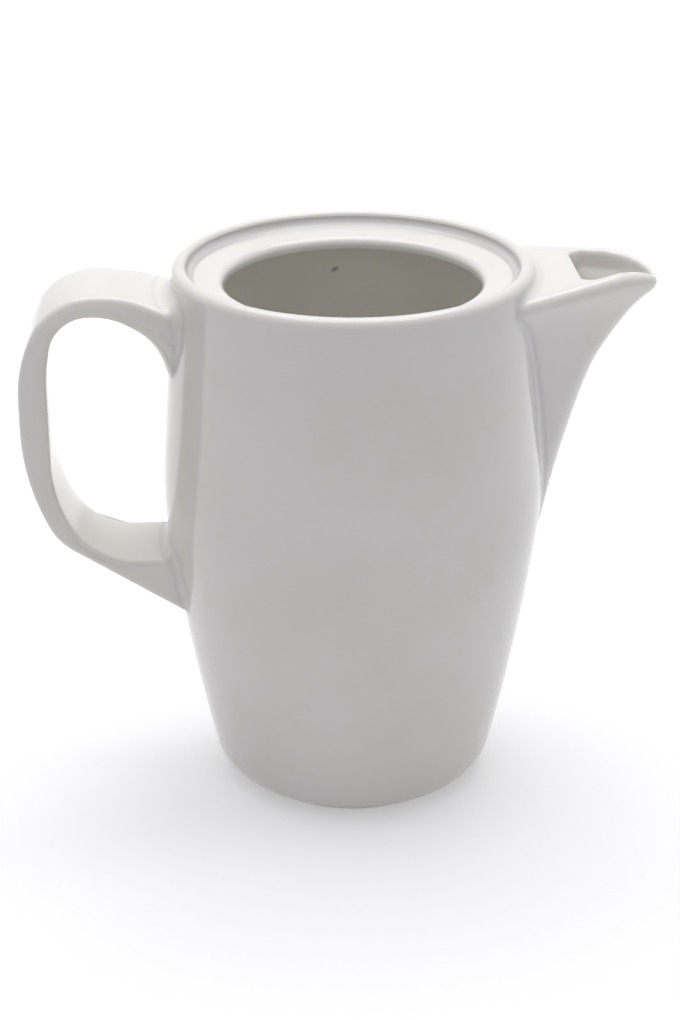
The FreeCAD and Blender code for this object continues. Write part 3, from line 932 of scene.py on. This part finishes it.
    def strap(self, body: PotBody) -> Piece:
        """Build the strap with rounded edges and gently crowned faces, seated on the body."""
        outer = self.sampled(self.outer_spans())
        inner = self.sampled(self.inner_spans())
        stations = len(outer)
        points: list[Solid] = []
        for station in range(stations):
            rims: list[tuple[Vector, Vector, float]] = []
            for line, turn in ((outer, 1.0), (inner, -1.0)):
                before, after = line[max(station - 1, 0)], line[min(station + 1, stations - 1)]
                along = Vector((after[0] - before[0], after[1] - before[1])).normalized()
                edge = self.edge if turn > 0 else self.inner_edge(*line[station])
                rims.append((Vector(line[station]), Vector((-along.y, along.x)) * turn, edge))
            for (place, out, edge), (other, back, far_edge), turn in ((*rims, 1.0), (*reversed(rims), -1.0)):
                half = self.half_width(place.x, place.y)
                for share, inset in self.profile(edge):
                    spot = place - out * inset
                    points.append(self.seated(body, spot.x, share * half * turn, spot.y))
                first, last = place - out * edge, other - back * far_edge
                for index in range(1, self.side_steps):
                    share = index / self.side_steps
                    spot = first.lerp(last, share)
                    bulge = self.side_crown * (1.0 - (2.0 * share - 1.0) ** 2)
                    across = (self.half_width(spot.x, spot.y) + bulge) * turn
                    points.append(self.seated(body, spot.x, across, spot.y))
        faces = grid_faces(stations, len(points) // stations, loop_columns=True)
        return mesh_object("strap_handle", points, faces, sharp=60.0)

    def upper_root(self, reach: float, turn: float) -> Vector:
        """Return a point of the upper root's surface."""
        low, high = self.arm_underside(reach), self.arm_top(reach)
        soft, step = self.inner_edge(reach, high), self.slope_step
        rise = (self.arm_underside(reach + step) - self.arm_underside(reach - step)) / (2.0 * step)
        lower = (soft, soft * math.hypot(1.0, rise))
        across, up = rounded_box(self.half_width(reach, high), low, high, self.edge, lower, turn)
        return Vector((-reach, across, up))

    def lower_root(self, reach: float, turn: float) -> Vector:
        """Return a point of the lower root's surface."""
        low = self.lower_underside(reach)
        edge = self.edge
        across, up = rounded_box(self.width / 2.0, low, self.gap_floor, edge, (edge, edge), turn)
        return Vector((-reach, across, up))

    def build(self, body: PotBody, glaze: Finish) -> list[Piece]:
        """Build the strap and the beads at its two roots.

        Args:
            body: The body that carries the handle.
            glaze: Finish of all three pieces.

        Returns:
            The three pieces.
        """
        strap = self.strap(body)
        upper = RootBead(body, strap, self.upper_root, self.root_depth,
                         self.arm_length - self.bead_margin, True, lambda turn: self.upper_bead)
        lower = RootBead(body, strap, self.lower_root, self.root_depth, self.gap_floor_reach, True,
                         lambda turn: self.lower_bead)
        return [
            dress(strap, glaze, "handle"),
            dress(upper.build("upper_handle_bead"), glaze, "upper_handle_slip"),
            dress(lower.build("lower_handle_bead"), glaze, "lower_handle_slip"),
        ]


@dataclass(frozen=True)
class Station:
    """The spout's outline at one height: how far its keel reaches and the radius of its nose."""

    up: float
    reach: float
    nose: float


@dataclass
class BeakSpout:
    """The beak spout: a keel that rises to a thin tip, a bridged deck and an open channel."""

    stations: tuple[Station, ...] = (
        Station(60.8, 49.1, 11.0),
        Station(70.8, 52.4, 12.0),
        Station(80.8, 55.7, 13.0),
        Station(96.8, 59.3, 14.0),
        Station(113.8, 64.1, 13.5),
        Station(130.8, 70.7, 11.5),
        Station(141.8, 78.2, 10.2),
        Station(146.8, 83.0, 9.8),
        Station(150.8, 88.2, 9.6),
        Station(160.8, 92.0, 9.6),
    )
    lean: float = math.radians(27.7)
    deck_height: float = 154.2
    deck_from: float = 50.76
    deck_rise: float = math.radians(5.0)
    deck_edge: float = 2.6
    deck_share: float = 0.35
    flare_drop: float = 4.0
    sink: float = 1.5
    on_wall: float = 0.08
    grain: float = 0.5
    wipes: int = 24
    wipe_strength: float = 0.5
    side_share: float = 0.5
    keel_share: float = 0.75
    bead_ease: float = 0.2
    bead_margins: Flat = (8.0, 12.0)
    deck_bead: float = 2.2
    side_bead: float = 5.0
    keel_bead: float = 8.0

    def at(self, up: float) -> Station:
        """Return the outline at any height, on a smooth curve through the stations."""
        rows = self.stations
        index = max(row for row in range(len(rows) - 1) if rows[row].up <= up or row == 0)
        start, end = rows[index], rows[index + 1]
        before, after = rows[max(index - 1, 0)], rows[min(index + 2, len(rows) - 1)]
        span = end.up - start.up
        share = (up - start.up) / span

        def curve(pick: Callable[[Station], float]) -> float:
            """Return one size on the cubic curve between the two stations."""
            first = (pick(end) - pick(before)) / (end.up - before.up) * span
            last = (pick(after) - pick(start)) / (after.up - start.up) * span
            rest = 1.0 - share
            return (pick(start) * rest * rest * (1.0 + 2.0 * share)
                    + pick(end) * share * share * (3.0 - 2.0 * share)
                    + first * share * rest * rest - last * share * share * rest)

        return Station(up, curve(lambda row: row.reach), curve(lambda row: row.nose))

    def half_width(self, reach: float, up: float) -> float:
        """Return half the spout's outer width at a reach and a height."""
        row = self.at(up)
        touch = row.reach - row.nose * (1.0 - math.sin(self.lean))
        if reach <= touch:
            return row.nose * math.cos(self.lean) + (touch - reach) * math.tan(self.lean)
        return math.sqrt(max(row.nose ** 2 - (reach - row.reach + row.nose) ** 2, 0.0))

    def keel_height(self, reach: float) -> float:
        """Return the height at which the keel has that reach."""
        low, high = self.stations[0].up, self.stations[-1].up
        for _ in range(HALVINGS):
            middle = (low + high) / 2.0
            low, high = (middle, high) if self.at(middle).reach < reach else (low, middle)
        return low

    def root(self, reach: float, turn: float) -> Vector:
        """Return a point of the outer surface near the body.

        Args:
            reach: Distance from the axis along the spout.
            turn: Share of the way from the keel over one side, the deck and the other side to the keel.

        Returns:
            The point.
        """
        fold = abs(2.0 * turn - 1.0)
        side = 1.0 if turn < 0.5 else -1.0
        deck = self.deck_height + (reach - self.deck_from) * math.tan(self.deck_rise)
        wide = self.half_width(reach, deck)
        flare = math.atan2(wide - self.half_width(reach, deck - self.flare_drop), self.flare_drop)
        edge = self.deck_edge
        middle = wide - edge * math.tan(flare) - edge / math.cos(flare)
        if fold < self.deck_share:
            return Vector((reach, side * middle * fold / self.deck_share, deck))
        bent = min((fold - self.deck_share) / (self.side_share - self.deck_share), 1.0)
        angle = (math.pi / 2.0 + flare) * bent
        up = deck - edge + edge * math.cos(angle)
        if fold < self.side_share:
            return Vector((reach, side * (middle + edge * math.sin(angle)), up))
        share = 1.0 - ((1.0 - fold) / (1.0 - self.side_share)) ** 2
        up += (self.keel_height(reach) - up) * share
        return Vector((reach, side * self.half_width(reach, up), up))

    def bead_round(self, turn: float) -> float:
        """Return the bead's radius: small on the deck, full on the sides, shallow and wide at the keel."""
        fold = abs(2.0 * turn - 1.0)
        onto_side = eased((fold - self.side_share) / self.bead_ease)
        onto_keel = eased((fold - self.keel_share) / (1.0 - self.keel_share))
        sides = self.deck_bead + (self.side_bead - self.deck_bead) * onto_side
        return sides + (self.keel_bead - self.side_bead) * onto_keel

    def beak(self, body: PotBody) -> Piece:
        """Build the beak from the solids of the spout and its slip, wiped soft and sunk into the wall."""
        points: list[Solid] = []
        faces: list[Face] = []
        for node in ("spout", "spout_slip"):
            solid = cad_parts[node]
            first = len(points)
            for vertex in solid.data.vertices:
                place = solid.matrix_world @ vertex.co / MM
                radius = math.hypot(place.x, place.y)
                if abs(radius - body.wall_radius(place.z)) < self.on_wall:
                    place.xy *= 1.0 - self.sink / radius
                points.append(tuple(place))
            faces += [tuple(first + corner for corner in face.vertices) for face in solid.data.polygons]
        beak = mesh_object("beak_spout", points, faces)
        clay = beak.modifiers.new("clay", "REMESH")
        clay.mode = "VOXEL"
        clay.voxel_size = self.grain * MM
        wiped = beak.modifiers.new("wiped", "SMOOTH")
        wiped.factor = self.wipe_strength
        wiped.iterations = self.wipes
        return settle(beak, sharp=75.0)

    def build(self, body: PotBody, glaze: Finish) -> list[Piece]:
        """Build the beak and the bead round its root.

        Args:
            body: The body that carries the spout.
            glaze: Finish of both pieces.

        Returns:
            The two pieces.
        """
        beak = self.beak(body)
        near = self.stations[0].reach - self.bead_margins[0]
        far = self.deck_from + self.bead_margins[1]
        bead = RootBead(body, beak, self.root, near, far, False, self.bead_round)
        return [
            dress(beak, glaze, "spout"),
            dress(bead.build("spout_bead"), glaze, "spout_slip"),
        ]


# Studio


@dataclass
class Studio:
    """Pale floor, soft light from above and all round, and the camera at the photo's angle."""

    target: Solid = (0.0, 0.0, 79.5)
    azimuth: float = math.radians(-4.5)
    elevation: float = math.radians(24.36)
    distance: float = 666.0
    lens_mm: float = 80.17
    sensor_mm: float = 36.0
    shift_px: Flat = (-12.9, 7.0)
    floor_half: float = 3000.0
    floor_tone: str = "#F0F0F0"
    floor_lift: Flat = (0.34, 0.68)
    lift_reach: Flat = (110.0, 420.0)
    room_tone: str = "#F2EFFA"
    room_light: float = 0.385
    lamp_place: Solid = (0.0, 200.0, 1000.0)
    lamp_side: float = 900.0
    lamp_power: float = 6.8

    def make_floor(self) -> None:
        """Lay the floor, white to the camera and in reflections, with the pot's shadow on it."""
        half = self.floor_half
        floor = mesh_object("floor", [(-half, -half, 0), (half, -half, 0), (half, half, 0), (-half, half, 0)],
                            [(0, 1, 2, 3)])
        material, tree = new_material("matt_white_sweep")
        seen = self.seen_ray(tree)
        matt = add_node(tree, "BsdfDiffuse", {"Color": linear(self.floor_tone)})
        place = add_node(tree, "TexCoord").outputs["Object"]
        away = add_node(tree, "VectorMath", {"0": place}, operation="LENGTH")
        level = add_node(tree, "MapRange", {
            "Value": away.outputs["Value"],
            "From Min": self.lift_reach[0] * MM, "From Max": self.lift_reach[1] * MM,
            "To Min": self.floor_lift[0], "To Max": self.floor_lift[1]}, interpolation_type="SMOOTHSTEP")
        lift = add_node(tree, "Math", {"0": seen, "1": level.outputs["Result"]}, operation="MULTIPLY")
        glow = add_node(tree, "Emission", {"Strength": lift.outputs["Value"]})
        both = add_node(tree, "AddShader", {"0": matt.outputs["BSDF"], "1": glow.outputs["Emission"]})
        add_node(tree, "OutputMaterial", {"Surface": both.outputs["Shader"]})
        floor.data.materials.append(material)

    def seen_ray(self, tree: Tree) -> Socket:
        """Return a socket that is 1 on camera, glossy and transmission rays and 0 on others."""
        path = add_node(tree, "LightPath")
        mirrored = add_node(tree, "Math", {
            "0": path.outputs["Is Camera Ray"], "1": path.outputs["Is Glossy Ray"]}, operation="MAXIMUM")
        seen = add_node(tree, "Math", {
            "0": mirrored.outputs["Value"], "1": path.outputs["Is Transmission Ray"]}, operation="MAXIMUM")
        return seen.outputs["Value"]

    def make_world(self) -> None:
        """Fill the room with even white light, and show plain white behind everything."""
        world = bpy.data.worlds.new("white_room")
        bpy.context.scene.world = world
        world.use_nodes = True
        tree = world.node_tree
        tree.nodes.clear()
        seen = self.seen_ray(tree)
        level = add_node(tree, "MapRange", {"Value": seen, "To Min": self.room_light, "To Max": 1.0})
        tone = add_node(tree, "Mix", {
            "0": seen, "6": linear(self.room_tone), "7": linear("#FFFFFF")}, data_type="RGBA")
        glow = add_node(tree, "Background", {
            "Color": tone.outputs[2], "Strength": level.outputs["Result"]})
        add_node(tree, "OutputWorld", {"Surface": glow.outputs["Background"]})

    def hang_softbox(self) -> None:
        """Hang one large soft lamp above and behind the pot, which it faces."""
        lamp = bpy.data.lights.new("top_softbox", "AREA")
        lamp.shape = "RECTANGLE"
        lamp.size = lamp.size_y = self.lamp_side * MM
        lamp.energy = self.lamp_power
        holder = bpy.data.objects.new("top_softbox", lamp)
        holder.location = Vector(self.lamp_place) * MM
        aim = Vector(self.target) * MM - holder.location
        holder.rotation_euler = aim.to_track_quat("-Z", "Y").to_euler()
        bpy.context.scene.collection.objects.link(holder)

    def make_camera(self) -> None:
        """Set up the camera at the photo's angle and framing."""
        lens = bpy.data.cameras.new("camera")
        lens.lens = self.lens_mm
        lens.sensor_width = self.sensor_mm
        lens.shift_x = self.shift_px[0] / PHOTO_LONG_SIDE
        lens.shift_y = self.shift_px[1] / PHOTO_LONG_SIDE
        camera = bpy.data.objects.new("camera", lens)
        level = math.cos(self.elevation)
        aside, behind = math.sin(self.azimuth) * level, -math.cos(self.azimuth) * level
        back = Vector((aside, behind, math.sin(self.elevation)))
        camera.location = (Vector(self.target) + back * self.distance) * MM
        camera.rotation_euler = (-back).to_track_quat("-Z", "Y").to_euler()
        bpy.context.scene.collection.objects.link(camera)
        bpy.context.scene.camera = camera

    def build(self) -> None:
        """Set up floor, light and camera."""
        self.make_floor()
        self.make_world()
        self.hang_softbox()
        self.make_camera()
        bpy.context.scene.view_settings.view_transform = "Standard"


def main() -> None:
    """Build every piece in order, then the studio around them."""
    logging.basicConfig(level=logging.INFO, format="%(name)s: %(message)s")
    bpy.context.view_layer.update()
    glaze = GlazedPorcelain().make()
    bare = BarePorcelain().make()
    body = PotBody()
    pieces = body.build(glaze, bare)
    pieces += LidSeat().build(body, glaze)
    pieces += StrapHandle().build(body, glaze)
    pieces += BeakSpout().build(body, glaze)
    Studio().build()
    LOG.info("%d pieces built", len(pieces))


if __name__ == "__main__":
    main()
